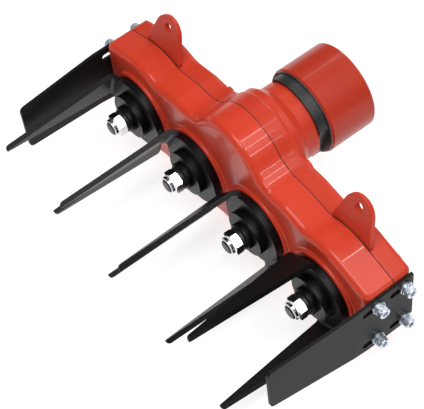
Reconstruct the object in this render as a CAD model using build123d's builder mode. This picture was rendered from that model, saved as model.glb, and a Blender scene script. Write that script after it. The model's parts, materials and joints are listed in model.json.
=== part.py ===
"""Four-rotor powered tine head for a garden power unit.

A cast gear case in two halves holds four parallel spindles, meshed in one row. An input shaft with a
pinion drives the second spindle through a coupling hub inside the round collar. Every spindle carries
a rotor: a disc, a bracket with two flat tines, a clamp ring, a washer and a lock nut. Two slotted side
shields are screwed to the ends of the case and slide along their slots for depth.

Frame: the origin is the centre of the collar's mouth, on the input shaft's axis. +X runs along the row
of spindles, the tines point to -Y, and the ears stand on the +Z side. "Depth" is the distance from the
collar's mouth towards the tines, so a point at a depth has Y = -depth. All lengths are in millimetres.
"""

import os
from math import acos, atan2, cos, degrees, pi, radians, sin, sqrt, tan

from build123d import *

os.makedirs("parts", exist_ok=True)

# ------------------------------------------------------------------ driving dimensions
# Gear train
module = 2.0
pressure_angle = 20.0
spindle_teeth = 41
pinion_teeth = 18
backlash = 0.16  # each tooth is this much thinner than half the pitch
gear_width = 8.5
gear_gap = 1.0  # free height between two gear levels, or a gear and a bearing

# Rotors, one for each spindle, with the angle from +X towards +Z at which its bracket is fitted
rotor_angles = [163.0, 151.0, 142.0, 118.0]

# Ball bearings: bore, outside diameter, width
top_bearing = (12.0, 28.0, 8.0)
bottom_bearing = (15.0, 32.0, 9.0)
neck_bearing = (15.0, 35.0, 11.0)
ball_count = 8
ball_clearance = 0.05

# Gear case
case_wall = 4.5
cover_wall = 5.0
grease_gap = 7.0  # from the gear tips to the side wall of an end lobe
end_gap = 2.5  # from the gear tips to the end wall
gasket_thickness = 0.8
cover_skirt = 4.5  # how far the cover half reaches down beside the upper gear level
hump_radius = 42.2
shoulder_height = 55.0  # front wall above the spindle axes, beside the hump
shoulder_half_length = 72.0
shoulder_slope = 11.0  # degrees, from the shoulder down towards the end lobes
waist_height = 49.0  # back wall below the spindle axes, between the lobes
end_front = 41.0  # front and back corners of the end faces, from the spindle axes
end_back = 33.0
end_block = 10.0
corner_round = 4.5
waist_round = 22.0
hump_round = 31.0
base_round = 6.5
cover_round = 4.0
seal_width = 5.0
seal_wall = 5.5  # radial thickness of a shaft seal
seal_ledge = 1.0  # wall left between a bearing and its seal
seal_clearance = 0.05
bearing_boss_wall = 3.5
seal_boss_rise = 1.5

# Neck, rings and collar
neck_radius = 35.0
neck_length = 24.0
neck_boss_radius = 41.0
neck_boss_rise = 4.5  # of the boss under the flare, above the cover's face
neck_flare_length = 8.0
neck_bore_radius = 24.0
neck_web = 5.5  # between the neck bearing and the inside of the cover
sleeve_radius = 30.0
sleeve_seat = 6.0  # how far the sleeve is pressed into the end of the neck
ring_radius = 37.8
ring_width = 9.3
ring_flat_distance = 31.0
ring_flat_angles = [-15.0, 165.0]  # from +X towards +Z
steel_ring_radius = 38.8
steel_ring_thickness = 1.2
collar_radius = 40.2
collar_length = 46.0
collar_bore_radius = 34.0
collar_bore_length = 30.0
collar_edge = 1.5

# Ears on the cover
ear_root_width = 45.0
ear_radius = 16.0
ear_thickness = 4.5
ear_lean = 20.0  # degrees from square to the spindles, towards the collar
ear_hole_radius = 4.25
ear_head_height = 72.4  # of the middle of the round head above the spindle axes
ear_hole_height = 77.6  # above the spindle axes

# Input shaft and coupling hub
coupling_radius = 18.0
coupling_gap = 1.0  # free length before and after the hub
coupling_bore_radius = 10.0
coupling_bore_length = 18.0
coupling_web = 1.5
coupling_key = 5.0
coupling_key_rise = 2.5
coupling_pin_radius = 2.5
drive_shoulder_radius = 10.0
pinion_seat_radius = 8.5
circlip_width = 1.2
circlip_rise = 2.0
circlip_groove = 0.8
circlip_opening = 40.0  # degrees

# Spindles and rotors
gear_seat_radius = 9.0
key_width = 5.0
key_height = 5.0
key_depth = 3.0  # how far a key sits in its shaft
key_end_gap = 0.5
rotor_seat_radius = 7.0
rotor_seat_flats = 12.4
slip_clearance = 0.1
rotor_standoff = 2.5  # from the case's face to the rotor disc
disc_radius = 32.5
disc_thickness = 3.0
disc_round = 0.8
rotor_gap = 1.0  # between a disc and the raised rim around it
rim_width = 3.5
rim_rise = 3.0
rim_round = 1.2
strap_thickness = 4.5
strap_width = 30.0
strap_bend_radius = 3.0
bracket_eye_radius = 33.5
tine_radius = 36.0  # from the spindle's axis to the middle of the tine
tine_length = 116.5
tine_tip_width = 3.0
tine_tip_round = 1.4
tine_tip_slope = 3.2  # rounding of the outer face at the tip
clamp_radius = 12.5
clamp_length = 12.0
clamp_flange_radius = 21.0
clamp_flange_length = 7.0
clamp_edge = 0.8
rotor_washer_radius = 10.5
rotor_washer_thickness = 2.5
thread_radius = 6.0
nut_flats = 19.0
nut_hex_height = 8.5
nut_collar_radius = 8.2
nut_collar_height = 3.0
thread_stand = 1.0
thread_chamfer = 0.8

# Case screws, with their heads sunk into the cover
case_screw_radius = 2.5
case_head_radius = 4.25
case_head_height = 5.0
case_head_sink = 5.2
case_socket_flats = 4.0
case_screw_engagement = 14.0  # thread in the base half
screw_boss_radius = 6.0
end_screw_inset = 15.0
end_screw_front = 37.0  # places of the screws, from the spindle axes
end_screw_back = 35.0
waist_screw_front = 44.0
waist_screw_back = 40.0
shoulder_screw_x = 50.0
shoulder_screw_front = 50.0

# Side shields
shield_thickness = 2.8
shield_gap = 0.1  # running gap on both faces of the sliding shield
shield_front = 36.0  # edges at the case, from the spindle axes
shield_back = 30.0
shield_back_cut = 9.5  # chamfer on the back corner beside the collar
shield_reach = 96.0  # beyond the case's face
shield_tip_front = 34.0
shield_tip_back = 16.9
shield_tip_round = 5.0
shield_bend_gap = 14.0  # from the case's face to the bend
shield_lean_left = 5.0  # degrees, inwards below the bend
shield_lean_right = 3.0
shield_travel = 12.0
slot_clearance = 0.3
shield_screw_front = 26.0  # rows of screws, from the spindle axes
shield_screw_back = 20.5
shield_screw_above = 9.8  # rows of screws, from the parting plane
shield_screw_below = 18.3
shield_screw_radius = 3.0
shield_head_radius = 4.8
shield_head_height = 5.6
shield_socket_flats = 5.0
shield_screw_engagement = 10.5
washer_radius = 6.0
washer_thickness = 1.6
lock_washer_radius = 5.4
lock_washer_thickness = 1.8
lock_washer_split = 1.2
screw_pad_size = 15.0
screw_pad_length = 12.0
screw_pad_wall = 1.0  # beyond a screw's end

# ------------------------------------------------------------------ derived places
# Across the row
pitch = module * spindle_teeth
spindle_count = len(rotor_angles)
spindle_x = [(i - (spindle_count - 1) / 2) * pitch for i in range(spindle_count)]
driven = spindle_count // 2 - 1  # the spindle that the pinion drives, just left of the middle
drive_distance = module * (spindle_teeth + pinion_teeth) / 2
drive_rise = sqrt(drive_distance**2 - (pitch / 2) ** 2)
spindle_points = [(x, -drive_rise) for x in spindle_x]
end_spindle = spindle_x[-1]
gear_tip_radius = module * (spindle_teeth + 2) / 2
lobe_radius = gear_tip_radius + grease_gap + case_wall
half_length = end_spindle + gear_tip_radius + end_gap + case_wall

# Down the depth
ring_start = collar_length + steel_ring_thickness
neck_end = ring_start + ring_width
cover_face = neck_end + neck_length
ceiling = cover_face + cover_wall
upper_gears = ceiling + top_bearing[2] + gear_gap
lower_gears = upper_gears + gear_width + gear_gap
parting = upper_gears + cover_skirt
bottom_bearings = lower_gears + gear_width + gear_gap
bottom_floor = bottom_bearings + bottom_bearing[2]
tine_face = bottom_floor + case_wall
seal_start = bottom_floor + seal_ledge
foot_bearing_start = bottom_floor - top_bearing[2]
neck_bearing_end = ceiling - neck_web
neck_bearing_start = neck_bearing_end - neck_bearing[2]
neck_seal_start = neck_bearing_start - seal_width
sleeve_end = neck_end + sleeve_seat
disc_start = tine_face + rotor_standoff
strap_start = disc_start + disc_thickness
clamp_start = strap_start + strap_thickness
rotor_washer_start = clamp_start + clamp_length
nut_start = rotor_washer_start + rotor_washer_thickness
nut_end = nut_start + nut_hex_height + nut_collar_height
tine_tip = strap_start + tine_length
rim_inner = disc_radius + rotor_gap
rim_outer = rim_inner + rim_width
cover_edge = parting - gasket_thickness / 2
base_edge = parting + gasket_thickness / 2

# Fasteners
end_screw_x = half_length - end_screw_inset
waist_screw_x = [(a + b) / 2 for a, b in zip(spindle_x, spindle_x[1:])]
case_screw_points = [(side * end_screw_x, end_screw_front - drive_rise) for side in (-1, 1)]
case_screw_points += [(side * end_screw_x, -end_screw_back - drive_rise) for side in (-1, 1)]
case_screw_points += [(x, -waist_screw_back - drive_rise) for x in waist_screw_x]
case_screw_points += [(x, waist_screw_front - drive_rise) for x in waist_screw_x if abs(x) > hump_radius]
case_screw_points += [(side * shoulder_screw_x, shoulder_screw_front - drive_rise) for side in (-1, 1)]
shield_screw_rows = [parting - shield_screw_above, parting + shield_screw_below]
shield_screw_heights = [shield_screw_front - drive_rise, -shield_screw_back - drive_rise]
shield_screw_places = [(depth, height) for depth in shield_screw_rows for height in shield_screw_heights]
shield_tip_depth = tine_face + shield_reach
shield_inner = half_length + shield_gap
washer_start = shield_inner + shield_thickness + shield_gap
ear_points = [(side * end_spindle, ear_hole_height - drive_rise) for side in (-1, 1)]


# ------------------------------------------------------------------ helpers
def at_depth(depth):
    """Plane square to the spindles at a depth; its X and Y are the part's X and Z."""
    return Plane.XZ.offset(depth)


def rounds(points, radius, start, end, mode=Mode.ADD):
    """Add or cut round columns at the points, from one depth to another."""
    with BuildSketch(at_depth(start)) as circles:
        with Locations(*points):
            Circle(radius)
    extrude(circles.sketch, amount=end - start, mode=mode)


def rings(points, outer, inner, start, end):
    """Separate plain rings at the points, from one depth to another."""
    with BuildPart() as made:
        with BuildSketch(at_depth(start)):
            with Locations(*points):
                Circle(outer)
                Circle(inner, mode=Mode.SUBTRACT)
        extrude(amount=end - start)
    return made.part


def finish(shape, name):
    """Label a finished piece and write it to its own STEP file."""
    shape.label = name
    export_step(shape, f"parts/{name}.step")


def polar(radius, angle):
    """Point at a radius and an angle in radians."""
    return (radius * cos(angle), radius * sin(angle))


def gear_face(teeth, phase):
    """Involute spur gear outline with the middle of one tooth at the angle phase, in radians."""
    pitch_radius = module * teeth / 2
    base_radius = pitch_radius * cos(radians(pressure_angle))
    tip_radius = pitch_radius + module
    root_radius = pitch_radius - 1.25 * module
    flank_foot = max(base_radius, root_radius)

    def involute(radius):
        """Polar angle that the involute has turned through at a radius."""
        lean = acos(min(1.0, base_radius / radius))
        return tan(lean) - lean

    half_pitch_tooth = (pi * module / 2 - backlash) / 2 / pitch_radius

    def half_tooth(radius):
        """Half the angle that a tooth fills at a radius."""
        return half_pitch_tooth + involute(pitch_radius) - involute(radius)

    step = 2 * pi / teeth
    middle = (flank_foot + tip_radius) / 2
    with BuildSketch() as outline:
        with BuildLine():
            for tooth in range(teeth):
                axis = phase + tooth * step
                right_root = polar(root_radius, axis - half_tooth(flank_foot))
                right_foot = polar(flank_foot, axis - half_tooth(flank_foot))
                right_tip = polar(tip_radius, axis - half_tooth(tip_radius))
                left_tip = polar(tip_radius, axis + half_tooth(tip_radius))
                left_foot = polar(flank_foot, axis + half_tooth(flank_foot))
                left_root = polar(root_radius, axis + half_tooth(flank_foot))
                next_root = polar(root_radius, axis + step - half_tooth(flank_foot))
                if flank_foot > root_radius:
                    Line(right_root, right_foot)
                    Line(left_foot, left_root)
                ThreePointArc(right_foot, polar(middle, axis - half_tooth(middle)), right_tip)
                ThreePointArc(right_tip, polar(tip_radius, axis), left_tip)
                ThreePointArc(left_tip, polar(middle, axis + half_tooth(middle)), left_foot)
                ThreePointArc(left_root, polar(root_radius, axis + step / 2), next_root)
        make_face()
    return outline.sketch


def ring_land(bearing):
    """Ball pitch radius and ball radius of a bearing, from its bore and outside diameter."""
    bore, outside, _ = bearing
    return (bore + outside) / 4, 0.15 * (outside - bore)


def race_groove(bearing, centre, start):
    """Cut the ball groove of one bearing into the ring that is being made."""
    pitch_radius, ball_radius = ring_land(bearing)
    with Locations((centre[0], -start - bearing[2] / 2, centre[1])):
        Torus(pitch_radius, ball_radius + ball_clearance, rotation=(90, 0, 0), mode=Mode.SUBTRACT)


def inner_rings(places):
    """Inner rings of the bearings listed as (bearing, centre, start depth)."""
    with BuildPart() as made:
        for bearing, centre, start in places:
            pitch_radius, ball_radius = ring_land(bearing)
            rounds([centre], pitch_radius - ball_radius / 2, start, start + bearing[2])
            rounds([centre], bearing[0] / 2, start, start + bearing[2], Mode.SUBTRACT)
            race_groove(bearing, centre, start)
    return made.part


def outer_rings(places):
    """Outer rings of the bearings listed as (bearing, centre, start depth)."""
    with BuildPart() as made:
        for bearing, centre, start in places:
            pitch_radius, ball_radius = ring_land(bearing)
            rounds([centre], bearing[1] / 2, start, start + bearing[2])
            rounds([centre], pitch_radius + ball_radius / 2, start, start + bearing[2], Mode.SUBTRACT)
            race_groove(bearing, centre, start)
    return made.part


def balls(places):
    """Balls of the bearings listed as (bearing, centre, start depth)."""
    with BuildPart() as made:
        for bearing, centre, start in places:
            pitch_radius, ball_radius = ring_land(bearing)
            middle = Plane(origin=(centre[0], -start - bearing[2] / 2, centre[1]), z_dir=(0, -1, 0))
            with Locations(middle):
                with PolarLocations(pitch_radius, ball_count):
                    Sphere(ball_radius)
    return made.part


def key_box(centre, seat_radius, start, end, clearance=0.0, mode=Mode.ADD):
    """Parallel key on the +X side of a shaft, or the slot for it with a clearance on its top."""
    low = seat_radius - key_depth
    high = low + key_height + clearance
    with Locations((centre[0] + (low + high) / 2, -(start + end) / 2, centre[1])):
        Box(high - low, end - start, key_width, mode=mode)


def cap_screw(under_head, shank_radius, shank_length, head_radius, head_height, socket_flats):
    """Socket cap screw with its head standing on a plane and its shank going down from it."""
    with BuildSketch(under_head) as shank:
        Circle(shank_radius)
    extrude(shank.sketch, amount=-shank_length)
    with BuildSketch(under_head) as head:
        Circle(head_radius)
    extrude(head.sketch, amount=head_height)
    with BuildSketch(under_head.offset(head_height)) as socket:
        RegularPolygon(socket_flats / 2, 6, major_radius=False)
    extrude(socket.sketch, amount=-head_height / 2, mode=Mode.SUBTRACT)


def shield_screw_seats(depth, pad_from, pad_to):
    """Pads inside the end walls, with blind threaded holes, for one row of shield screws."""
    pad_middle = half_length - case_wall / 2 - screw_pad_length / 2
    hole_middle = half_length - shield_screw_engagement / 2
    for side in (-1, 1):
        for height in shield_screw_heights:
            with Locations((side * pad_middle, -(pad_from + pad_to) / 2, height)):
                Box(screw_pad_length, pad_to - pad_from, screw_pad_size)
            with Locations((side * hole_middle, -depth, height)):
                Cylinder(shield_screw_radius, shield_screw_engagement, rotation=(0, 90, 0), mode=Mode.SUBTRACT)


# ------------------------------------------------------------------ outline of the gear case
def end_lobe(side):
    """One end of the case: a lobe around the end spindle with straight flanks to the end face."""
    with BuildSketch() as lobe:
        with Locations((side * end_spindle, -drive_rise)):
            Circle(lobe_radius)
        block_middle = side * (half_length - end_block / 2)
        with Locations((block_middle, (end_front - end_back) / 2 - drive_rise)):
            Rectangle(end_block, end_front + end_back)
        make_hull()
        lobe_reach = half_length - end_spindle + lobe_radius
        with Locations((side * (half_length - lobe_reach / 2), -drive_rise)):
            Rectangle(lobe_reach, 2 * lobe_radius, mode=Mode.INTERSECT)
        at_end = [v for v in lobe.vertices() if abs(v.X) > half_length - 0.01]
        fillet(at_end, corner_round)
    return lobe.sketch


shoulder_drop = (end_spindle - shoulder_half_length) * tan(radians(shoulder_slope))
shoulder_foot_height = shoulder_height - shoulder_drop
with BuildSketch() as case_outline:
    add(end_lobe(-1))
    add(end_lobe(1))
    with Locations(*spindle_points[1:-1]):
        Circle(lobe_radius)
    with BuildLine():
        Polyline(
            (-end_spindle, -waist_height - drive_rise),
            (end_spindle, -waist_height - drive_rise),
            (end_spindle, shoulder_foot_height - drive_rise),
            (shoulder_half_length, shoulder_height - drive_rise),
            (-shoulder_half_length, shoulder_height - drive_rise),
            (-end_spindle, shoulder_foot_height - drive_rise),
            close=True,
        )
    make_face()
    Circle(hump_radius)
    beside_hump = [
        v for v in case_outline.vertices() if abs(v.X) < hump_radius and v.Y > -drive_rise
    ]
    fillet(beside_hump, hump_round)
    inside_ends = end_spindle - 1.0
    hollows = [
        v
        for v in case_outline.vertices()
        if abs(v.X) < inside_ends and (v.Y < -drive_rise or shoulder_half_length + 5 < abs(v.X))
    ]
    fillet(hollows, waist_round)

with BuildSketch() as cavity_outline:
    add(case_outline.sketch)
    offset(amount=-case_wall, mode=Mode.REPLACE)


# ------------------------------------------------------------------ base half, on the tine side
with BuildPart() as case_base:
    with BuildSketch(at_depth(base_edge)):
        add(case_outline.sketch)
    extrude(amount=tine_face - base_edge)
    fillet(case_base.faces().sort_by(Axis.Y)[0].edges(), base_round)
    with BuildSketch(at_depth(base_edge)):
        add(cavity_outline.sketch)
    extrude(amount=bottom_floor - base_edge, mode=Mode.SUBTRACT)
    # bosses for the bearings and the case screws
    boss_end = bottom_floor + case_wall / 2
    rounds(spindle_points, bottom_bearing[1] / 2 + bearing_boss_wall, bottom_bearings, boss_end)
    rounds([(0, 0)], top_bearing[1] / 2 + bearing_boss_wall, foot_bearing_start, boss_end)
    rounds(case_screw_points, screw_boss_radius, base_edge, boss_end)
    pad_start = shield_screw_rows[1] - shield_screw_radius - screw_pad_wall
    shield_screw_seats(shield_screw_rows[1], pad_start, boss_end)
    # raised rims around the rotor discs, and seats for the seals
    rounds(spindle_points, rim_outer, tine_face, tine_face + rim_rise)
    rim_edges = case_base.faces().sort_by(Axis.Y)[0:spindle_count].edges()
    fillet(rim_edges, rim_round)
    rounds(spindle_points, rim_inner, tine_face, tine_face + rim_rise, Mode.SUBTRACT)
    seal_radius = bottom_bearing[0] / 2 + seal_wall
    rounds(spindle_points, seal_radius + bearing_boss_wall, tine_face, tine_face + seal_boss_rise)
    # seats for bearings and seals, and the way through for the spindles
    rounds(spindle_points, bottom_bearing[1] / 2, bottom_bearings, bottom_floor, Mode.SUBTRACT)
    rounds(spindle_points, seal_radius - seal_ledge, bottom_floor, seal_start, Mode.SUBTRACT)
    rounds(spindle_points, seal_radius, seal_start, disc_start, Mode.SUBTRACT)
    rounds([(0, 0)], top_bearing[1] / 2, foot_bearing_start, bottom_floor, Mode.SUBTRACT)
    rounds(case_screw_points, case_screw_radius, base_edge, base_edge + case_screw_engagement, Mode.SUBTRACT)
finish(case_base.part, "case_base")


# ------------------------------------------------------------------ cover half, with neck and ears
def ear(point):
    """Flat ear that leans towards the collar from the parting plane, with a hole along the spindles."""
    lean = radians(ear_lean)
    root = (point[0], -parting, lobe_radius - drive_rise)
    head_reach = (ear_head_height - lobe_radius) / cos(lean)
    ear_plane = Plane(origin=root, x_dir=(1, 0, 0), z_dir=(0, -cos(lean), sin(lean)))
    with BuildPart() as made:
        with BuildSketch(ear_plane):
            with Locations((0, head_reach)):
                Circle(ear_radius)
            with Locations((0, -case_wall / 2)):
                Rectangle(ear_root_width, case_wall)
            make_hull()
        extrude(amount=-ear_thickness)
        fillet(made.edges().filter_by(GeomType.CIRCLE), ear_thickness / 5)
        rounds([point], ear_hole_radius, ceiling - ear_thickness, parting, Mode.SUBTRACT)
        split(bisect_by=at_depth(cover_edge), keep=Keep.BOTTOM)
    return made.part


with BuildPart() as case_cover:
    with BuildSketch(at_depth(cover_face)):
        add(case_outline.sketch)
    extrude(amount=cover_edge - cover_face)
    fillet(case_cover.faces().sort_by(Axis.Y)[-1].edges(), cover_round)
    for point in ear_points:
        add(ear(point))
    with BuildSketch(at_depth(ceiling)):
        add(cavity_outline.sketch)
    extrude(amount=cover_edge - ceiling, mode=Mode.SUBTRACT)
    # bosses for the bearings, the case screws and the shield screws
    boss_start = cover_face + cover_wall / 2
    top_bearing_end = ceiling + top_bearing[2]
    rounds(spindle_points, top_bearing[1] / 2 + bearing_boss_wall, boss_start, top_bearing_end)
    rounds(case_screw_points, screw_boss_radius, cover_face, cover_edge)
    pad_end = shield_screw_rows[0] + shield_screw_radius + screw_pad_wall
    shield_screw_seats(shield_screw_rows[0], boss_start, pad_end)
    # neck, with the flare and the boss that it stands on
    boss_face = cover_face - neck_boss_rise
    flare_start = boss_face - neck_flare_length
    with Locations((0, -(flare_start + boss_face) / 2, 0)):
        Cone(neck_radius, neck_boss_radius, neck_flare_length, rotation=(90, 0, 0))
    rounds([(0, 0)], neck_radius, neck_end, flare_start)
    rounds([(0, 0)], neck_boss_radius, boss_face, ceiling)
    # bores
    rounds([(0, 0)], sleeve_radius, neck_end, sleeve_end, Mode.SUBTRACT)
    rounds([(0, 0)], neck_bore_radius, sleeve_end, neck_seal_start, Mode.SUBTRACT)
    rounds([(0, 0)], neck_bearing[1] / 2, neck_seal_start, neck_bearing_end, Mode.SUBTRACT)
    rounds([(0, 0)], neck_bearing[1] / 2 - bearing_boss_wall, neck_bearing_end, ceiling, Mode.SUBTRACT)
    rounds(spindle_points, top_bearing[1] / 2, ceiling, top_bearing_end, Mode.SUBTRACT)
    rounds(case_screw_points, case_screw_radius, cover_face, cover_edge, Mode.SUBTRACT)
    head_hole = case_head_radius + slip_clearance
    rounds(case_screw_points, head_hole, cover_face, cover_face + case_head_sink, Mode.SUBTRACT)
finish(case_cover.part, "case_cover")


# ------------------------------------------------------------------ gasket and case screws
with BuildPart() as case_gasket:
    with BuildSketch(at_depth(cover_edge)):
        add(case_outline.sketch)
        add(cavity_outline.sketch, mode=Mode.SUBTRACT)
        with Locations(*case_screw_points):
            Circle(screw_boss_radius)
            Circle(case_screw_radius, mode=Mode.SUBTRACT)
    extrude(amount=gasket_thickness)
finish(case_gasket.part, "case_gasket")

with BuildPart() as case_screws:
    case_head_seat = cover_face + case_head_sink
    case_screw_length = base_edge + case_screw_engagement - case_head_seat
    for x, z in case_screw_points:
        seat_plane = Plane(origin=(x, -case_head_seat, z), x_dir=(1, 0, 0), z_dir=(0, 1, 0))
        cap_screw(
            seat_plane,
            case_screw_radius,
            case_screw_length,
            case_head_radius,
            case_head_height,
            case_socket_flats,
        )
finish(case_screws.part, "case_screws")


# ------------------------------------------------------------------ bearings and seals in the case
bearing_places = [(top_bearing, point, ceiling) for point in spindle_points]
bearing_places += [(bottom_bearing, point, bottom_bearings) for point in spindle_points]
drive_bearing_places = [(neck_bearing, (0, 0), neck_bearing_start), (top_bearing, (0, 0), foot_bearing_start)]
finish(outer_rings(bearing_places + drive_bearing_places), "bearing_outer_rings")
finish(balls(bearing_places + drive_bearing_places), "bearing_balls")

with BuildPart() as shaft_seals:
    spindle_seal_bore = bottom_bearing[0] / 2 + seal_clearance
    seal_outside = bottom_bearing[0] / 2 + seal_wall
    add(rings(spindle_points, seal_outside, spindle_seal_bore, seal_start, seal_start + seal_width))
    neck_seal_bore = neck_bearing[0] / 2 + seal_clearance
    add(rings([(0, 0)], neck_bearing[1] / 2, neck_seal_bore, neck_seal_start, neck_bearing_start))
finish(shaft_seals.part, "shaft_seals")


# ------------------------------------------------------------------ sleeve, rings and collar on the neck
finish(rings([(0, 0)], sleeve_radius, neck_bore_radius, collar_bore_length, sleeve_end), "neck_sleeve")

with BuildPart() as neck_ring:
    with BuildSketch(at_depth(ring_start)):
        Circle(ring_radius)
        Circle(sleeve_radius, mode=Mode.SUBTRACT)
        cut_width = ring_radius - ring_flat_distance
        for flat_angle in ring_flat_angles:
            with Locations(polar(ring_flat_distance + cut_width / 2, radians(flat_angle))):
                Rectangle(cut_width, 2 * ring_radius, rotation=flat_angle, mode=Mode.SUBTRACT)
    extrude(amount=ring_width)
finish(neck_ring.part, "neck_ring")

finish(rings([(0, 0)], steel_ring_radius, sleeve_radius, collar_length, ring_start), "steel_ring")

with BuildPart() as collar:
    rounds([(0, 0)], collar_radius, 0, collar_length)
    chamfer(collar.edges().filter_by(GeomType.CIRCLE), collar_edge)
    rounds([(0, 0)], collar_bore_radius, 0, collar_bore_length, Mode.SUBTRACT)
    rounds([(0, 0)], sleeve_radius, collar_bore_length, collar_length, Mode.SUBTRACT)
finish(collar.part, "collar")


# ------------------------------------------------------------------ input shaft, pinion and coupling hub
upper_gear_end = upper_gears + gear_width
coupling_start = collar_bore_length + coupling_gap
coupling_bore_end = coupling_start + coupling_bore_length
coupling_seat_start = coupling_bore_end + coupling_web
coupling_end = neck_seal_start - coupling_gap
coupling_pin_depth = (coupling_seat_start + coupling_end) / 2
circlip_end = upper_gear_end + circlip_width

with BuildPart() as drive_shaft:
    rounds([(0, 0)], neck_bearing[0] / 2, coupling_seat_start, neck_bearing_end)
    rounds([(0, 0)], drive_shoulder_radius, neck_bearing_end, upper_gears)
    rounds([(0, 0)], pinion_seat_radius, upper_gears, circlip_end + circlip_width)
    rounds([(0, 0)], neck_bearing[0] / 2, circlip_end + circlip_width, foot_bearing_start)
    rounds([(0, 0)], top_bearing[0] / 2, foot_bearing_start, bottom_floor - thread_chamfer)
    with BuildSketch(at_depth(upper_gear_end)):
        Circle(pinion_seat_radius)
        Circle(pinion_seat_radius - circlip_groove, mode=Mode.SUBTRACT)
    extrude(amount=circlip_width, mode=Mode.SUBTRACT)
    key_box((0, 0), pinion_seat_radius, upper_gears, upper_gear_end, mode=Mode.SUBTRACT)
    with Locations((0, -coupling_pin_depth, 0)):
        Cylinder(coupling_pin_radius, 4 * coupling_radius, rotation=(0, 90, 0), mode=Mode.SUBTRACT)
finish(drive_shaft.part, "drive_shaft")

# The pinion meets a tooth gap of the driven gear on the line between their centres.
mesh_line = atan2(drive_rise, -spindle_x[driven])
gear_step = 2 * pi / spindle_teeth
pinion_step = 2 * pi / pinion_teeth
mesh_share = mesh_line / gear_step
pinion_phase = mesh_line + pi - pinion_step * (0.5 - mesh_share)
with BuildPart() as drive_pinion:
    with BuildSketch(at_depth(upper_gears)):
        add(gear_face(pinion_teeth, pinion_phase))
        Circle(pinion_seat_radius, mode=Mode.SUBTRACT)
    extrude(amount=gear_width)
    key_box((0, 0), pinion_seat_radius, upper_gears, upper_gear_end, slip_clearance, Mode.SUBTRACT)
finish(drive_pinion.part, "drive_pinion")

with BuildPart() as drive_key:
    key_box((0, 0), pinion_seat_radius, upper_gears, upper_gear_end)
finish(drive_key.part, "drive_key")

with BuildPart() as drive_circlip:
    with BuildSketch(at_depth(upper_gear_end)):
        Circle(pinion_seat_radius + circlip_rise)
        Circle(pinion_seat_radius - circlip_groove, mode=Mode.SUBTRACT)
        half_opening = (pinion_seat_radius + circlip_rise) * tan(radians(circlip_opening / 2))
        with BuildLine():
            Polyline(
                (0, 0),
                (pinion_seat_radius + circlip_rise, half_opening),
                (pinion_seat_radius + circlip_rise, -half_opening),
                close=True,
            )
        make_face(mode=Mode.SUBTRACT)
    extrude(amount=circlip_width)
finish(drive_circlip.part, "drive_circlip")
finish(inner_rings(drive_bearing_places), "drive_inner_rings")

with BuildPart() as drive_coupling:
    rounds([(0, 0)], coupling_radius, coupling_start, coupling_end)
    chamfer(drive_coupling.edges().filter_by(GeomType.CIRCLE), collar_edge)
    rounds([(0, 0)], coupling_bore_radius, coupling_start, coupling_bore_end, Mode.SUBTRACT)
    rounds([(0, 0)], neck_bearing[0] / 2, coupling_seat_start, coupling_end, Mode.SUBTRACT)
    keyway_top = coupling_bore_radius + coupling_key_rise
    with Locations((0, -(coupling_start + coupling_bore_end) / 2, keyway_top / 2)):
        Box(coupling_key, coupling_bore_length, keyway_top, mode=Mode.SUBTRACT)
    with Locations((0, -coupling_pin_depth, 0)):
        Cylinder(coupling_pin_radius, 2 * coupling_radius, rotation=(0, 90, 0), mode=Mode.SUBTRACT)
finish(drive_coupling.part, "drive_coupling")

with BuildPart() as coupling_pin:
    with Locations((0, -coupling_pin_depth, 0)):
        Cylinder(coupling_pin_radius, 2 * coupling_radius - collar_edge, rotation=(0, 90, 0))
finish(coupling_pin.part, "coupling_pin")


# ------------------------------------------------------------------ spindles and rotors
def rotor_seat(clearance):
    """Round seat with two flats, for the rotor end of a spindle or the holes that fit on it."""
    with BuildSketch() as seat:
        Circle(rotor_seat_radius + clearance)
        Rectangle(rotor_seat_flats + 2 * clearance, 4 * rotor_seat_radius, mode=Mode.INTERSECT)
    return seat.sketch


def rotor_plane(point, angle, depth):
    """Plane square to a spindle, centred on it at a depth, with its X along the rotor's arms."""
    turn = radians(angle)
    return Plane(
        origin=(point[0], -depth, point[1]), x_dir=(cos(turn), 0, sin(turn)), z_dir=(0, -1, 0)
    )


def seat_hole(point, angle, start, end):
    """Cut the flatted hole that fits on a spindle's rotor seat."""
    with BuildSketch(rotor_plane(point, angle, start)) as hole:
        add(rotor_seat(slip_clearance))
    extrude(hole.sketch, amount=end - start, mode=Mode.SUBTRACT)


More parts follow.
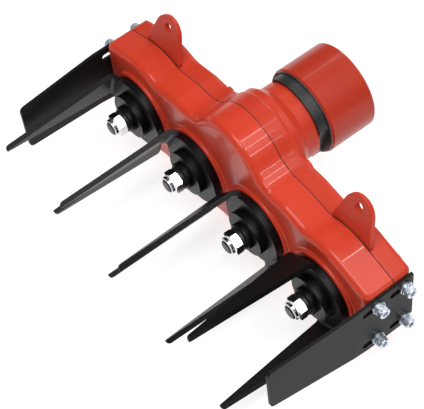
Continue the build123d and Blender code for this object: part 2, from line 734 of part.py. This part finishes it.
def tine_bracket(point, angle):
    """Bracket bent from one strap: an eye around the spindle and a tapered tine down each side."""
    turn = radians(angle)
    origin = (point[0], 0, point[1])
    side_view = Plane(origin=origin, x_dir=(cos(turn), 0, sin(turn)), z_dir=(sin(turn), 0, -cos(turn)))
    end_view = Plane(origin=origin, x_dir=(-sin(turn), 0, cos(turn)), z_dir=(cos(turn), 0, sin(turn)))
    outer_half = tine_radius + strap_thickness / 2
    inner_half = tine_radius - strap_thickness / 2
    with BuildPart() as made:
        with BuildSketch(side_view) as strap:
            with Locations((0, (strap_start + tine_tip) / 2)):
                Rectangle(2 * outer_half, tine_tip - strap_start)
            corners = [v for v in strap.sketch_local.vertices() if v.Y < clamp_start]
            fillet(corners, strap_bend_radius + strap_thickness)
            tips = [v for v in strap.sketch_local.vertices() if v.Y > clamp_start + tine_radius]
            fillet(tips, tine_tip_slope)
        extrude(amount=strap_width / 2, both=True)
        with BuildSketch(side_view) as gap:
            with Locations((0, (clamp_start + tine_tip) / 2)):
                Rectangle(2 * inner_half, tine_tip - clamp_start)
            corners = [v for v in gap.sketch_local.vertices() if v.Y < clamp_start + 0.01]
            fillet(corners, strap_bend_radius)
        extrude(amount=strap_width / 2, both=True, mode=Mode.SUBTRACT)
        with BuildSketch(end_view) as taper:
            with BuildLine():
                Polyline(
                    (-strap_width / 2, strap_start),
                    (strap_width / 2, strap_start),
                    (strap_width / 2, clamp_start),
                    (tine_tip_width / 2, tine_tip),
                    (-tine_tip_width / 2, tine_tip),
                    (-strap_width / 2, clamp_start),
                    close=True,
                )
            make_face()
            tip_corners = taper.sketch_local.vertices().group_by(Axis.Y)[-1]
            fillet(tip_corners, tine_tip_round)
        extrude(amount=outer_half, both=True, mode=Mode.INTERSECT)
        rounds([point], bracket_eye_radius, strap_start, clamp_start)
        seat_hole(point, angle, strap_start, clamp_start)
    return made.part


spindle_gear_face = gear_face(spindle_teeth, 0.0)
for number, (point, angle) in enumerate(zip(spindle_points, rotor_angles), start=1):
    gear_start = upper_gears if number == driven + 1 else lower_gears
    gear_end = lower_gears + gear_width

    with BuildPart() as shaft:
        rounds([point], top_bearing[0] / 2, ceiling + thread_chamfer, upper_gears - gear_gap)
        rounds([point], gear_seat_radius, upper_gears - gear_gap, bottom_bearings)
        rounds([point], bottom_bearing[0] / 2, bottom_bearings, disc_start)
        with BuildSketch(rotor_plane(point, angle, disc_start)) as seat:
            add(rotor_seat(0.0))
        extrude(seat.sketch, amount=rotor_washer_start - disc_start - slip_clearance)
        rounds([point], thread_radius, rotor_washer_start - slip_clearance, nut_end + thread_stand)
        chamfer(shaft.faces().sort_by(Axis.Y)[0].edges(), thread_chamfer)
        key_start = gear_start + key_end_gap
        key_end = gear_end - key_end_gap
        key_box(point, gear_seat_radius, key_start, key_end, mode=Mode.SUBTRACT)
    finish(shaft.part, f"spindle_{number}_shaft")

    with BuildPart() as gear:
        with BuildSketch(at_depth(gear_start)):
            with Locations(point):
                add(spindle_gear_face)
                Circle(gear_seat_radius, mode=Mode.SUBTRACT)
        extrude(amount=gear_end - gear_start)
        key_box(point, gear_seat_radius, gear_start, gear_end, slip_clearance, Mode.SUBTRACT)
    finish(gear.part, f"spindle_{number}_gear")

    with BuildPart() as key:
        key_box(point, gear_seat_radius, key_start, key_end)
    finish(key.part, f"spindle_{number}_key")

    spindle_bearings = [place for place in bearing_places if place[1] == point]
    finish(inner_rings(spindle_bearings), f"spindle_{number}_inner_rings")

    with BuildPart() as disc:
        rounds([point], disc_radius, disc_start, strap_start)
        fillet(disc.edges().filter_by(GeomType.CIRCLE), disc_round)
        seat_hole(point, angle, disc_start, strap_start)
    finish(disc.part, f"rotor_{number}_disc")

    finish(tine_bracket(point, angle), f"rotor_{number}_tines")

    with BuildPart() as clamp:
        rounds([point], clamp_radius, clamp_start, rotor_washer_start)
        rounds([point], clamp_flange_radius, clamp_start, clamp_start + clamp_flange_length)
        chamfer(clamp.edges().filter_by(GeomType.CIRCLE).group_by(Axis.Y)[0], clamp_edge)
        seat_hole(point, angle, clamp_start, rotor_washer_start)
    finish(clamp.part, f"rotor_{number}_clamp")

    washer_hole = thread_radius + slip_clearance
    washer = rings([point], rotor_washer_radius, washer_hole, rotor_washer_start, nut_start)
    finish(washer, f"rotor_{number}_washer")

    with BuildPart() as nut:
        with BuildSketch(rotor_plane(point, angle, nut_start)):
            RegularPolygon(nut_flats / 2, 6, major_radius=False)
        extrude(amount=nut_hex_height)
        rounds([point], nut_collar_radius, nut_start + nut_hex_height, nut_end)
        rounds([point], thread_radius, nut_start, nut_end, Mode.SUBTRACT)
    finish(nut.part, f"rotor_{number}_nut")


# ------------------------------------------------------------------ side shields and their fasteners
def shield(side, lean):
    """Slotted plate on one end of the case, bent slightly inwards below the case."""
    bend_depth = tine_face + shield_bend_gap
    lean_in = (shield_tip_depth - bend_depth) * tan(radians(lean))
    outer = shield_inner + shield_thickness
    with BuildPart() as made:
        with BuildSketch(Plane.XY.offset(-drive_rise)):
            with BuildLine():
                Polyline(
                    (side * shield_inner, -cover_face),
                    (side * shield_inner, -bend_depth),
                    (side * (shield_inner - lean_in), -shield_tip_depth),
                    (side * (outer - lean_in), -shield_tip_depth),
                    (side * outer, -bend_depth),
                    (side * outer, -cover_face),
                    close=True,
                )
            make_face()
        extrude(amount=shield_front + shield_back, both=True)
        with BuildSketch(Plane.YZ):
            with BuildLine():
                Polyline(
                    (-cover_face, shield_front - drive_rise),
                    (-tine_face, shield_front - drive_rise),
                    (-shield_tip_depth, shield_tip_front - drive_rise),
                    (-shield_tip_depth, -shield_tip_back - drive_rise),
                    (-tine_face, -shield_back - drive_rise),
                    (-cover_face - shield_back_cut, -shield_back - drive_rise),
                    (-cover_face, shield_back_cut - shield_back - drive_rise),
                    close=True,
                )
            make_face()
        extrude(amount=outer + shield_gap, both=True, mode=Mode.INTERSECT)
        tip_corners = made.edges().filter_by(Axis.X, tolerance=10).group_by(Axis.Y)[0]
        fillet(tip_corners, shield_tip_round)
        slot_width = 2 * (shield_screw_radius + slot_clearance)
        for depth, height in shield_screw_places:
            with BuildSketch(Plane.YZ) as slot:
                with Locations((-depth - shield_travel / 2, height)):
                    SlotCenterToCenter(shield_travel, slot_width)
            extrude(slot.sketch, amount=outer + shield_gap, both=True, mode=Mode.SUBTRACT)
    return made.part


finish(shield(-1, shield_lean_left), "shield_left")
finish(shield(1, shield_lean_right), "shield_right")


def stack_on_shields(make, start, thickness):
    """Make one flat fastener on the outside of both shields at every screw, facing outwards."""
    with BuildPart() as made:
        for side in (-1, 1):
            for depth, height in shield_screw_places:
                seat = (side * start, -depth, height)
                with BuildSketch(Plane(origin=seat, x_dir=(0, side, 0), z_dir=(side, 0, 0))) as profile:
                    make()
                extrude(profile.sketch, amount=thickness)
    return made.part


def flat_washer():
    """Outline of a flat washer."""
    Circle(washer_radius)
    Circle(shield_screw_radius + slip_clearance, mode=Mode.SUBTRACT)


def split_washer():
    """Outline of a spring washer with its split."""
    Circle(lock_washer_radius)
    Circle(shield_screw_radius + slip_clearance, mode=Mode.SUBTRACT)
    with Locations((lock_washer_radius, 0)):
        Rectangle(2 * lock_washer_radius, lock_washer_split, mode=Mode.SUBTRACT)


lock_washer_start = washer_start + washer_thickness
screw_head_start = lock_washer_start + lock_washer_thickness
finish(stack_on_shields(flat_washer, washer_start, washer_thickness), "shield_washers")
finish(stack_on_shields(split_washer, lock_washer_start, lock_washer_thickness), "shield_lock_washers")

with BuildPart() as shield_screws:
    shield_screw_length = screw_head_start - half_length + shield_screw_engagement
    for side in (-1, 1):
        for depth, height in shield_screw_places:
            seat = (side * screw_head_start, -depth, height)
            cap_screw(
                Plane(origin=seat, x_dir=(0, side, 0), z_dir=(side, 0, 0)),
                shield_screw_radius,
                shield_screw_length,
                shield_head_radius,
                shield_head_height,
                shield_socket_flats,
            )
finish(shield_screws.part, "shield_screws")
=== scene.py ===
"""Looks of a four-rotor powered tine head: red cast gear case, black rotors with folded tines, bright
nuts and screws, two dark side shields and a round red collar, on a white floor under soft lights.
Lengths are in metres; depth runs from the collar's mouth at y = 0 towards the tines, at negative y."""
import json
import math

import bmesh
import bpy
import numpy as np
from mathutils import Matrix, Vector


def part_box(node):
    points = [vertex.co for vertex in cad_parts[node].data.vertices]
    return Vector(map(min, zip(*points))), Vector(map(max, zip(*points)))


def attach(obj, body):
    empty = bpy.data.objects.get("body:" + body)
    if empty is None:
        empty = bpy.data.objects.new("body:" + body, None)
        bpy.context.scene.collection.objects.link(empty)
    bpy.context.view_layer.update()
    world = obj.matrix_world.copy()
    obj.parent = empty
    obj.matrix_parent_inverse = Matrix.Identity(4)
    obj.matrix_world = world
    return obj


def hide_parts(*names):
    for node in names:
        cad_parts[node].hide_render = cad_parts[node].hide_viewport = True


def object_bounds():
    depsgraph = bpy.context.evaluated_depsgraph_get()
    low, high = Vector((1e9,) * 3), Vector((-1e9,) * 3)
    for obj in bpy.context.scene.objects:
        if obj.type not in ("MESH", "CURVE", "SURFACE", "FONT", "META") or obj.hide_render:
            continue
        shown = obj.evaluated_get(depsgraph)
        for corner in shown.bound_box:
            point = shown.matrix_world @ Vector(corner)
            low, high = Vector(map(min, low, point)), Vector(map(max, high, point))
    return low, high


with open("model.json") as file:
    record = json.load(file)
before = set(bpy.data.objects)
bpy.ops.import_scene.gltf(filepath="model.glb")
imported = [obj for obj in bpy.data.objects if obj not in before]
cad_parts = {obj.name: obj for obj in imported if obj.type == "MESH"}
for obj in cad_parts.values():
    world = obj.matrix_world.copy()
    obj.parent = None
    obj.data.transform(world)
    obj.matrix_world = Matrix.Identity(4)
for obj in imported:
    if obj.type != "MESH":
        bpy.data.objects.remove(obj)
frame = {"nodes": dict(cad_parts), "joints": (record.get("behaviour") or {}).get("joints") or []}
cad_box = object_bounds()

nodes = frame["nodes"]


# ---------------------------------------------------------------- base half of the gear case
# A deep aluminium casting that holds the gears and the lower bearings. It is sand cast, machined at
# the joint and the bearing seats, then painted with a thick gloss red that flows round its edges.
class Field:
    """A value that changes over a surface. Arithmetic on fields adds the Math nodes for it."""

    def __init__(self, socket):
        self.socket = socket

    def worked(self, operation, *others):
        node = self.socket.id_data.nodes.new("ShaderNodeMath")
        node.operation = operation
        for place, value in zip(node.inputs, (self, *others)):
            if isinstance(value, Field):
                self.socket.id_data.links.new(value.socket, place)
            else:
                place.default_value = value
        return Field(node.outputs[0])

    def __add__(self, other):
        return self.worked("ADD", other)

    __radd__ = __add__

    def __sub__(self, other):
        return self.worked("SUBTRACT", other)

    def __rsub__(self, other):
        return self.worked("MULTIPLY_ADD", -1.0, other)

    def __mul__(self, other):
        return self.worked("MULTIPLY", other)

    __rmul__ = __mul__

    def above(self, level, width):
        """0 below the level and 1 above it, with a straight ramp of that width between."""
        return ((self - level) * (1.0 / width) + 0.5).worked("MAXIMUM", 0.0).worked("MINIMUM", 1.0)


class Finish:
    """A material on one Principled shader; sockets given here are the same all over the surface."""

    def __init__(self, name, **plain):
        self.material = bpy.data.materials.new(name)
        self.material.use_nodes = True
        self.tree = self.material.node_tree
        self.shader = self.tree.nodes["Principled BSDF"]
        for socket, value in plain.items():
            name = socket.replace("_", " ").title().replace("Ior", "IOR")
            self.shader.inputs[name].default_value = value
        self.place = self.add("ShaderNodeTexCoord", output="Object")

    def add(self, kind, settings=None, inputs=None, output=0):
        """Adds a node of a kind, with its settings made before its sockets are filled or linked."""
        node = self.tree.nodes.new(kind)
        for key, value in (settings or {}).items():
            setattr(node, key, value)
        for key, value in (inputs or {}).items():
            if isinstance(value, Field):
                self.tree.links.new(value.socket, node.inputs[key])
            else:
                node.inputs[key].default_value = value
        return Field(node.outputs[output])

    def noise(self, size, detail=2.0, place=None):
        """Cloudy values from 0 to 1, with features of about that size in metres."""
        inputs = {"Vector": place or self.place, "Scale": 1.0 / size, "Detail": detail}
        return self.add("ShaderNodeTexNoise", None, inputs, "Fac")

    def mixed(self, amount, first, second):
        """Colour that goes from the first to the second with the amount."""
        inputs = {"Factor": amount, 6: first, 7: second}
        return self.add("ShaderNodeMix", {"data_type": "RGBA"}, inputs, 2)

    def feed(self, socket, field):
        self.tree.links.new(field.socket, self.shader.inputs[socket])

    def bump(self, height, depth, strength=1.0):
        """Relief from a 0 to 1 height field, as deep as that many metres."""
        inputs = {"Height": height, "Distance": depth, "Strength": strength}
        self.feed("Normal", self.add("ShaderNodeBump", None, inputs))

    def put_on(self, *objects):
        for thing in objects:
            thing.data.materials.clear()
            thing.data.materials.append(self.material)


def gloss_red(name, colour, shade, film):
    """Gloss paint that drifts slowly between two reds, under a clear film of that weight, with a faint
    ripple and broader waves."""
    paint = Finish(name, coat_weight=film, coat_roughness=0.03, specular_ior_level=0.2)
    drift = paint.noise(size=0.06)
    paint.feed("Base Color", paint.mixed(drift.above(level=0.5, width=0.5), shade, colour))
    ripple = paint.noise(size=0.0028, detail=1.0)
    paint.feed("Roughness", 0.27 + ripple * 0.08 + drift * 0.06)
    waves = paint.noise(size=0.011, detail=1.0)
    paint.bump(ripple * 0.35 + waves, depth=0.00012, strength=0.6)
    return paint


case_red = gloss_red(
    "case_red", colour=(0.62, 0.050, 0.021, 1.0), shade=(0.56, 0.040, 0.016, 1.0), film=0.24)
case_red.put_on(nodes["case_base"])


# ---------------------------------------------------------------- bearings, gears and spindles
# Ground steel bearings pressed into bored seats, hobbed gears keyed on turned spindles, and the input
# shaft with its pinion and circlip. They run in grease inside the case and only their ends show.
def scaled(colour, factor):
    """The colour made darker or paler by a factor, still opaque."""
    return tuple(value * factor for value in colour[:3]) + (1.0,)


def turned_steel(name, colour, roughness):
    """Machined steel: fine bands that follow each other along the spindles, left by the tool."""
    metal = Finish(name, metallic=1.0)
    stretched = metal.add("ShaderNodeMapping", None, {"Vector": metal.place, "Scale": (0.2, 5.0, 0.2)})
    bands = metal.noise(size=0.0012, detail=3.0, place=stretched)
    metal.feed("Base Color", metal.mixed(bands, scaled(colour, 0.72), colour))
    metal.feed("Roughness", roughness + bands * 0.15)
    metal.bump(bands, depth=0.00003, strength=0.4)
    return metal


ground_steel = turned_steel("ground_steel", (0.56, 0.56, 0.57, 1.0), roughness=0.18)
hobbed_steel = turned_steel("hobbed_steel", (0.42, 0.42, 0.43, 1.0), roughness=0.3)
blued_steel = turned_steel("blued_steel", (0.07, 0.07, 0.08, 1.0), roughness=0.3)
for name, part in nodes.items():
    if name.startswith("spindle_") and name.endswith("_shaft"):
        blued_steel.put_on(part)
    elif name.endswith(("_shaft", "_key", "_inner_rings", "_outer_rings", "_balls", "_circlip")):
        ground_steel.put_on(part)
    elif name.endswith(("_gear", "_pinion")) or name in ("coupling_pin", "drive_coupling"):
        hobbed_steel.put_on(part)


# ---------------------------------------------------------------- gasket and shaft seals
# A thin sheet gasket between the machined faces of the case, oiled dark, and nitrile seals pressed
# into the bores round the spindles and the input shaft.
def rubber(name, colour, grain):
    """Matt rubber with a fine even grain and slightly paler dust in the hollows."""
    skin = Finish(name, roughness=0.75)
    grains = skin.noise(size=grain)
    skin.feed("Base Color", skin.mixed(grains * 0.6, colour, scaled(colour, 1.8)))
    skin.bump(grains, depth=0.00005, strength=0.5)
    return skin


rubber("gasket_dark", (0.03, 0.006, 0.005, 1.0), grain=0.0008).put_on(nodes["case_gasket"])
rubber("seal_rubber", (0.018, 0.018, 0.018, 1.0), grain=0.0006).put_on(nodes["shaft_seals"])


# ---------------------------------------------------------------- cover half of the gear case
# The other half of the casting, with the neck for the input shaft and two ears. It is screwed on with
# eleven socket screws sunk below its face. Its red is the base's red painted darker, as painted shade,
# under a thinner clear film that shines less.
shaded_cover_red = gloss_red(
    "shaded_cover_red", colour=(0.56, 0.044, 0.019, 1.0), shade=(0.49, 0.036, 0.014, 1.0), film=0.07)
shaded_cover_red.put_on(nodes["case_cover"])


# ---------------------------------------------------------------- rolled feet of the rotor rims
# Each rotor turns in a round raised rim on the base. The rim runs into the face of the casting in a
# hollow curve, which is part of the casting and has the same paint.
def wrapped_grid(name, points, finish, body, closed_profile=True):
    """Mesh of a grid of points: rows follow a profile, columns go round and close on themselves. With a
    closed profile the last row also joins the first; else both end rows are points on the axis."""
    rows, columns = points.shape[:2]
    row_count = rows if closed_profile else rows - 1
    index = np.arange(rows * columns).reshape(rows, columns)
    here = index[:row_count]
    after = np.roll(index, -1, axis=0)[:row_count]
    quads = np.stack([here, np.roll(here, -1, axis=1), np.roll(after, -1, axis=1), after], -1)
    mesh = bpy.data.meshes.new(name)
    mesh.from_pydata(points.reshape(-1, 3).tolist(), [], quads.reshape(-1, 4).tolist())
    shape = bmesh.new()
    shape.from_mesh(mesh)
    bmesh.ops.remove_doubles(shape, verts=shape.verts, dist=1e-7)
    bmesh.ops.recalc_face_normals(shape, faces=shape.faces)
    shape.to_mesh(mesh)
    shape.free()
    mesh.shade_smooth()
    mesh.set_sharp_from_angle(angle=math.radians(32.0))
    piece = bpy.data.objects.new(name, mesh)
    bpy.context.scene.collection.objects.link(piece)
    finish.put_on(piece)
    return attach(piece, body)


def turned(profile, columns, centre_x, centre_z):
    """A profile of (radius, y) pairs carried round an axis that is parallel to y: at a turn t the point
    is (centre_x + radius cos t, y, centre_z + radius sin t)."""
    turn = np.linspace(0.0, 2.0 * np.pi, columns, endpoint=False)
    radius, y = profile[:, :1], profile[:, 1:]
    x = centre_x + radius * np.cos(turn)
    z = centre_z + radius * np.sin(turn)
    return np.stack([x, y + 0.0 * x, z], -1)


spindles = [Vector(joint["pos_m"]) for joint in frame["joints"] if joint["name"].startswith("rotor_")]
rim_radius, rim_rise = 0.037, 0.003
tine_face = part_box("case_base")[0].y + rim_rise
hollow = 0.0022  # radius of the hollow curve
sunk = 0.0003  # how far the foot reaches into the rim and into the face
swell = np.linspace(0.0, np.pi / 2, 9)
arc_radius = rim_radius + hollow * (1.0 - np.sin(swell))
arc_y = tine_face - hollow * (1.0 - np.cos(swell))
root = np.array([[rim_radius - sunk, tine_face - hollow], [rim_radius - sunk, tine_face + sunk],
                 [rim_radius + hollow, tine_face + sunk]])
foot_profile = np.vstack([np.stack([arc_radius, arc_y], -1), root])
for number, spindle in enumerate(spindles, start=1):
    foot = turned(foot_profile, 96, spindle.x, spindle.z)
    wrapped_grid(f"rim_foot_{number}", foot, case_red, "case")


# ---------------------------------------------------------------- sleeve, rings and collar
# A ground steel sleeve pressed into the neck carries a thin ring, a black moulded ring with two flats,
# and the collar that takes the power unit's tube. The thin ring is black too. The collar is gloss red,
# painted darker than the case as painted shade.
shaded_collar_red = gloss_red(
    "shaded_collar_red", colour=(0.45, 0.034, 0.014, 1.0), shade=(0.38, 0.026, 0.010, 1.0), film=0.16)
shaded_collar_red.put_on(nodes["collar"])
ground_steel.put_on(nodes["neck_sleeve"])

moulded_black = Finish("moulded_black", roughness=0.4, base_color=(0.012, 0.013, 0.014, 1.0))
moulded_black.bump(moulded_black.noise(size=0.0015), depth=0.00006, strength=0.5)
moulded_black.put_on(nodes["neck_ring"], nodes["steel_ring"])


# ---------------------------------------------------------------- rotors
# Each rotor is a disc and a folded plate bracket with two tapered tines, held by a turned clamp. All
# are steel, sprayed with a satin black paint that dries slightly uneven.
satin_black = Finish("satin_black", specular_ior_level=0.19)
grain = satin_black.noise(size=0.004, detail=3.0)
black_low, black_high = (0.002, 0.002, 0.002, 1.0), (0.006, 0.006, 0.007, 1.0)
satin_black.feed("Base Color", satin_black.mixed(grain, black_low, black_high))
satin_black.feed("Roughness", 0.30 + grain * 0.16)
satin_black.bump(satin_black.noise(size=0.0022), depth=0.00010, strength=0.5)
for name, part in nodes.items():
    if name.endswith(("_disc", "_tines", "_clamp")):
        satin_black.put_on(part)


# ---------------------------------------------------------------- washers and lock nuts
# A blackened washer and a bright plated lock nut on the threaded end of each spindle. The nut is a
# hexagon cut from round bar, chamfered at both ends, with a thin collar that grips the thread.
black_oxide = Finish("black_oxide", roughness=0.4, metallic=0.6, base_color=(0.03, 0.03, 0.03, 1.0))
black_oxide.bump(black_oxide.noise(size=0.001), depth=0.00003, strength=0.4)
bright_plate = Finish("bright_plate", metallic=1.0, base_color=(0.82, 0.83, 0.85, 1.0))
cloud = bright_plate.noise(size=0.003)
bright_plate.feed("Roughness", 0.10 + cloud * 0.10)
for number in range(1, 5):
    black_oxide.put_on(nodes[f"rotor_{number}_washer"])


def hexagon(turn, flats, facing):
    """Distance from the axis to a hexagon's edge at an angle, with one flat square to the facing angle:
    half the width across flats over the cosine of the angle from the middle of the nearest flat."""
    from_flat = np.mod(turn - facing + np.pi / 6, np.pi / 3) - np.pi / 6
    return flats / 2 / np.cos(from_flat)


facing = math.radians(58.8)  # of a nut's flat round its spindle
nut_flats, nut_height, thread_radius = 0.019, 0.0085, 0.0060
blank_corner, round_end = 0.0112, 0.0088  # reach of the turned blank, and of its chamfered round ends
low_chamfer, high_chamfer = 0.0013, 0.0018  # height of each chamfer at that reach
nut_turn = facing + np.linspace(0.0, 2.0 * np.pi, 240, endpoint=False)
flats_reach = hexagon(nut_turn, nut_flats, facing)
low_edge = low_chamfer * (flats_reach - round_end) / (blank_corner - round_end)
high_edge = nut_height - high_chamfer * (flats_reach - round_end) / (blank_corner - round_end)
steps = [
    # reach, distance from the washer: the hexagon between two chamfers, then the collar that locks it
    (thread_radius, 0.0), (round_end, 0.0), (flats_reach, low_edge), (flats_reach, high_edge),
    (round_end, nut_height), (0.0083, 0.0086), (0.00815, 0.0089), (0.00815, 0.0104), (0.0080, 0.01095),
    (0.0076, 0.0113), (0.0071, 0.0115), (0.0067, 0.01145), (0.00645, 0.0112), (0.0063, 0.0107),
    (thread_radius, 0.0103)]
nut_reach, away = np.stack([np.stack(np.broadcast_arrays(*step, nut_turn)[:2]) for step in steps], 1)
for number, spindle in enumerate(spindles, start=1):
    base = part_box(f"rotor_{number}_nut")[1].y
    x = spindle.x + nut_reach * np.cos(nut_turn)
    z = spindle.z + nut_reach * np.sin(nut_turn)
    nut = np.stack([x, base - away, z], -1)
    piece = wrapped_grid(f"lock_nut_{number}", nut, bright_plate, f"rotor_{number}")
    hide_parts(f"rotor_{number}_nut")


# ---------------------------------------------------------------- side shields
# Folded steel plates that keep the soil in at both ends. Slots let them slide along the spindles. They
# are powder coated in a fine dark charcoal.
powder_coat = Finish("powder_coat", roughness=0.5, specular_ior_level=0.2)
speckle = powder_coat.noise(size=0.0009)
powder_low, powder_high = (0.003, 0.003, 0.003, 1.0), (0.008, 0.008, 0.008, 1.0)
powder_coat.feed("Base Color", powder_coat.mixed(speckle, powder_low, powder_high))
powder_coat.bump(speckle, depth=0.00008, strength=0.6)
powder_coat.put_on(nodes["shield_left"], nodes["shield_right"])


# ---------------------------------------------------------------- shield screws and case screws
# Zinc plated socket screws with split and flat washers hold the shields, and sunk ones the cover. The
# shield screws have knurled heads, because they are loosened often.
zinc = Finish("zinc", metallic=1.0)
bloom = zinc.noise(size=0.002, detail=3.0)
zinc_low, zinc_high = (0.58, 0.64, 0.74, 1.0), (0.74, 0.78, 0.82, 1.0)
zinc.feed("Base Color", zinc.mixed(bloom, zinc_low, zinc_high))
zinc.feed("Roughness", 0.30 + bloom * 0.14)
zinc.put_on(nodes["shield_washers"], nodes["shield_lock_washers"], nodes["case_screws"])

blanks = nodes["shield_screws"].data
blank_points = np.zeros(len(blanks.vertices) * 3, np.float32)
blanks.vertices.foreach_get("co", blank_points)
blank_points = blank_points.reshape(-1, 3).astype(float)
half_way = (blank_points.min(0) + blank_points.max(0)) / 2
rod, head_radius, head = 0.0030, 0.0048, 0.0056  # radius of thread and head, height of the head
key_flats, key_edge = 0.005, 0.0029  # across the hexagon's flats, and radius of its chamfered mouth
outline = np.array([
    # reach, distance from under the head, 1 where the grips are cut, 1 where the hexagon is
    [0.0, -0.0140, 0, 0], [0.0024, -0.0140, 0, 0], [rod, -0.0134, 0, 0], [rod, -0.0001, 0, 0],
    [0.0033, 0.0, 0, 0], [0.0044, 0.0, 0, 0], [head_radius, 0.0004, 0, 0], [head_radius, 0.0009, 1, 0],
    [head_radius, 0.0042, 1, 0], [head_radius, 0.0046, 0, 0], [head_radius, 0.0050, 0, 0],
    [0.0046, 0.0054, 0, 0], [0.0043, head, 0, 0], [0.0030, head, 0, 0], [key_edge, 0.0055, 0, 0],
    [0.0025, 0.0052, 0, 1], [0.0025, 0.0026, 0, 1], [0.0, 0.0018, 0, 0]])
screw_turn = np.linspace(0.0, 2.0 * np.pi, 144, endpoint=False)
grips = 0.00012 * np.cos(36 * screw_turn)  # 36 grooves round the head
count = 0
for side in (-1, 1):
    for along in (-1, 1):
        for up in (-1, 1):
            mine = blank_points[(np.sign(blank_points - half_way) == (side, along, up)).all(1)]
            centre = (mine.min(0) + mine.max(0)) / 2
            outer = np.abs(mine[:, 0]).max()
            flats = np.minimum(hexagon(screw_turn, key_flats, 0.4 * count), key_edge)
            reach = np.where(outline[:, 3:] > 0, flats, outline[:, :1]) + outline[:, 2:3] * grips
            x = side * (outer - head + outline[:, 1:2]) + 0.0 * reach
            y = centre[1] + reach * np.cos(screw_turn)
            z = centre[2] + reach * np.sin(screw_turn)
            screw = np.stack([x, y, z], -1)
            count += 1
            name = f"shield_screw_{count}"
            piece = wrapped_grid(name, screw, zinc, "case", closed_profile=False)
            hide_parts("shield_screws")


# ---------------------------------------------------------------- floor
# A plain white sheet under the object, at the height of the object's lowest point. It glows a little,
# so that it stays white round the object and throws light back up at it.
ground = cad_box[0][2]
floor_mesh = bpy.data.meshes.new("floor")
floor_reach = 6.0
floor_corners = [(x * floor_reach, y * floor_reach, ground)
                 for x, y in ((-1, -1), (1, -1), (1, 1), (-1, 1))]
floor_mesh.from_pydata(floor_corners, [], [(0, 1, 2, 3)])
floor = bpy.data.objects.new("floor", floor_mesh)
bpy.context.scene.collection.objects.link(floor)
white = Finish("floor_white", roughness=0.9, base_color=(0.35, 0.35, 0.35, 1.0),
               emission_color=(1.0, 1.0, 1.0, 1.0), emission_strength=0.8)
white.put_on(floor)


# ---------------------------------------------------------------- light and camera
# Two large soft boxes light the object from above, and an arc of panes and brighter bars over its right
# end shows in the gloss paint as a window. The camera looks down at the tine side from the front right.
world = bpy.data.worlds.new("studio")
world.use_nodes = True
backdrop = world.node_tree.nodes["Background"]
backdrop.inputs["Color"].default_value = (1.0, 1.0, 1.0, 1.0)
backdrop.inputs["Strength"].default_value = 0.13
bpy.context.scene.world = world
bpy.context.scene.view_settings.view_transform = "Standard"


def soft_box(name, place, target, width, height, power):
    """A rectangular light that faces its target, with its size in metres and its power in watts."""
    data = bpy.data.lights.new(name, "AREA")
    data.shape = "RECTANGLE"
    data.size, data.size_y, data.energy = width, height, power
    lamp = bpy.data.objects.new(name, data)
    lamp.location = place
    lamp.rotation_euler = (Vector(target) - Vector(place)).to_track_quat("-Z", "Y").to_euler()
    bpy.context.scene.collection.objects.link(lamp)


middle = (0.0, -0.1, -0.04)
soft_box("sky", (-0.7, 1.35, 1.4), middle, width=1.4, height=1.0, power=15.0)
soft_box("camera_side", (0.2, -0.75, 1.8), middle, width=1.2, height=1.0, power=24.0)
window_y, window_reach, window_width = 0.205, 1.45, 0.48
window = (
    # name, degrees from straight up, height and power of each part of the window
    ("pane_high", 20.5, 0.40, 2.0), ("pane_low", 38.5, 0.38, 1.3),
    ("bar_high", 11.0, 0.06, 2.4), ("bar_middle", 30.0, 0.05, 1.8), ("bar_low", 48.0, 0.06, 2.0))
for name, angle, height, power in window:
    lean = math.radians(angle)
    place = (window_reach * math.sin(lean), window_y, middle[2] + window_reach * math.cos(lean))
    soft_box(name, place, (0.0, window_y, middle[2]), window_width, height, power)

camera_data = bpy.data.cameras.new("camera")
camera_data.lens, camera_data.sensor_width = 128.0, 36.0
camera = bpy.data.objects.new("camera", camera_data)
camera_place = (0.6240, -0.5238, 0.9900)
azimuth, elevation, roll = 58.82, 54.73, -8.07  # degrees
aim = Matrix.Rotation(math.radians(azimuth), 4, "Z")
aim = aim @ Matrix.Rotation(math.radians(90.0 - elevation), 4, "X")
aim = aim @ Matrix.Rotation(math.radians(roll), 4, "Z")
camera.matrix_world = Matrix.Translation(camera_place) @ aim
bpy.context.scene.collection.objects.link(camera)
bpy.context.scene.camera = camera
